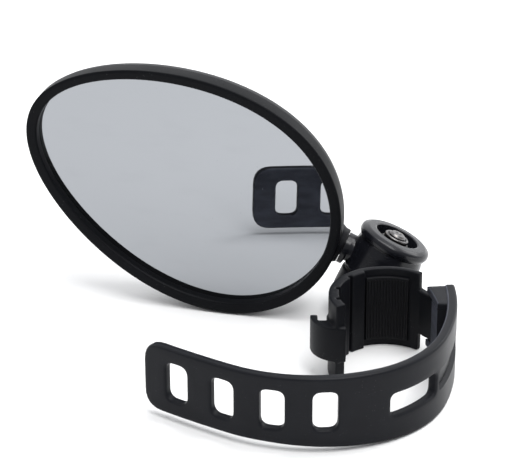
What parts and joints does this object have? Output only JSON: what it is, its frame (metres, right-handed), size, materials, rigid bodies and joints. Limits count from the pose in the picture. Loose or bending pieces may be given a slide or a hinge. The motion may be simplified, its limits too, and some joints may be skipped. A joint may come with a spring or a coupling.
{
  "type": "bicycle handlebar mirror",
  "caption": "Egg-shaped rear-view mirror on a swivel arm, with a half-round handlebar clamp closed by a perforated silicone strap.",
  "frame": {"origin": "on the handlebar's axis at the middle of the clamp's height", "axes": "+Z along the handlebar, +X to the right as the mirror's face is looked at, +Y away from the viewer, towards the back of the mirror head"},
  "size_m": [0.1278, 0.1105, 0.0765],
  "materials": {
    "clamp_plastic": "fine moulded texture",
    "arm_plastic": "satin moulded",
    "housing_plastic": "satin moulded",
    "bezel_plastic": "fine moulded texture",
    "silicone": "matt silicone",
    "grip_rubber": "matt",
    "mirror_face": "polished",
    "foam": "matt foam",
    "nylon": "natural",
    "zinc_steel": "zinc plated"
  },
  "bodies": {
    "clamp": {"clamp_saddle": "clamp_plastic", "grip_pad": "grip_rubber", "pivot_bolt": "zinc_steel", "friction_washer": "nylon", "nut_washer": "zinc_steel", "lock_nut": "zinc_steel"},
    "arm": {"swivel_arm": "arm_plastic", "neck_screw": "zinc_steel", "neck_washer": "zinc_steel"},
    "head": {"neck_socket": "housing_plastic", "friction_bush": "nylon", "back_shell": "housing_plastic", "carrier_plate": "housing_plastic", "foam_pad": "foam", "mirror_glass": "mirror_face", "bezel_ring": "bezel_plastic"},
    "strap": {"strap": "silicone"}
  },
  "joints": [
    {"name": "arm_pivot", "type": "hinge", "parent": "clamp", "child": "arm", "pos_m": [0.0047, 0.0375, 0.0122], "axis": [0.4271, 0.0986, 0.8988], "range_deg": [-60, 25]},
    {"name": "head_swivel", "type": "hinge", "parent": "arm", "child": "head", "pos_m": [0.00034, 0.03649, 0.00303], "axis": [-0.8888, 0.2286, 0.3973], "range_deg": [-25, 25]},
    {"name": "strap_swing", "type": "hinge", "parent": "clamp", "child": "strap", "pos_m": [0.0168, 0.005, 0], "axis": [0, 0, 1], "range_deg": [-10, 16]}
  ]
}
